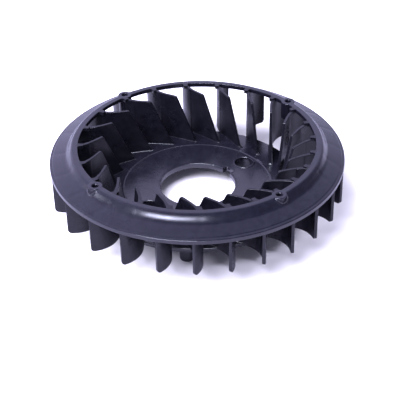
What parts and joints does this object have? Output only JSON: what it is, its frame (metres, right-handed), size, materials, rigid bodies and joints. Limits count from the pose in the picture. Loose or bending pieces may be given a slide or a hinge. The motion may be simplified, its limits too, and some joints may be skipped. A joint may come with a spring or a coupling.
{
  "type": "engine cooling fan wheel",
  "caption": "Centrifugal cooling fan wheel for a small engine's flywheel: swept blades between a flat hub plate and a sloping shroud ring with a round air inlet.",
  "frame": {"origin": "centre of the hub bore, in the plane of the hub plate's underside, which faces the flywheel", "axes": "+Z along the spin axis, out of the air inlet; +X to the right of the picture's view, which looks along +Y and down"},
  "size_m": [0.24, 0.24, 0.0596],
  "materials": {
    "shroud_plastic": "satin black moulded plastic",
    "blade_plastic": "satin black moulded plastic",
    "hub_plastic": "satin black moulded plastic"
  },
  "bodies": {
    "root": {"ring_edge": "shroud_plastic", "shroud_ring": "shroud_plastic", "shroud_flank": "shroud_plastic", "inlet_rim": "shroud_plastic", "hub_flange": "hub_plastic", "hub_ridge": "hub_plastic", "hub_disc": "hub_plastic", "blade_01": "blade_plastic", "blade_02": "blade_plastic", "blade_03": "blade_plastic", "blade_04": "blade_plastic", "blade_05": "blade_plastic", "blade_06": "blade_plastic", "blade_07": "blade_plastic", "blade_08": "blade_plastic", "blade_09": "blade_plastic", "blade_10": "blade_plastic", "blade_11": "blade_plastic", "blade_12": "blade_plastic", "blade_13": "blade_plastic", "blade_14": "blade_plastic", "blade_15": "blade_plastic", "blade_16": "blade_plastic", "blade_17": "blade_plastic", "blade_18": "blade_plastic", "blade_19": "blade_plastic", "blade_20": "blade_plastic", "blade_21": "blade_plastic", "blade_22": "blade_plastic", "blade_23": "blade_plastic", "blade_24": "blade_plastic", "screw_boss_01": "shroud_plastic", "screw_boss_02": "shroud_plastic", "screw_boss_03": "shroud_plastic", "screw_boss_04": "shroud_plastic", "locating_sleeve_01": "hub_plastic", "locating_sleeve_02": "hub_plastic", "drive_pin_01": "hub_plastic", "drive_pin_02": "hub_plastic", "drive_pin_03": "hub_plastic", "drive_pin_04": "hub_plastic"}
  },
  "joints": []
}
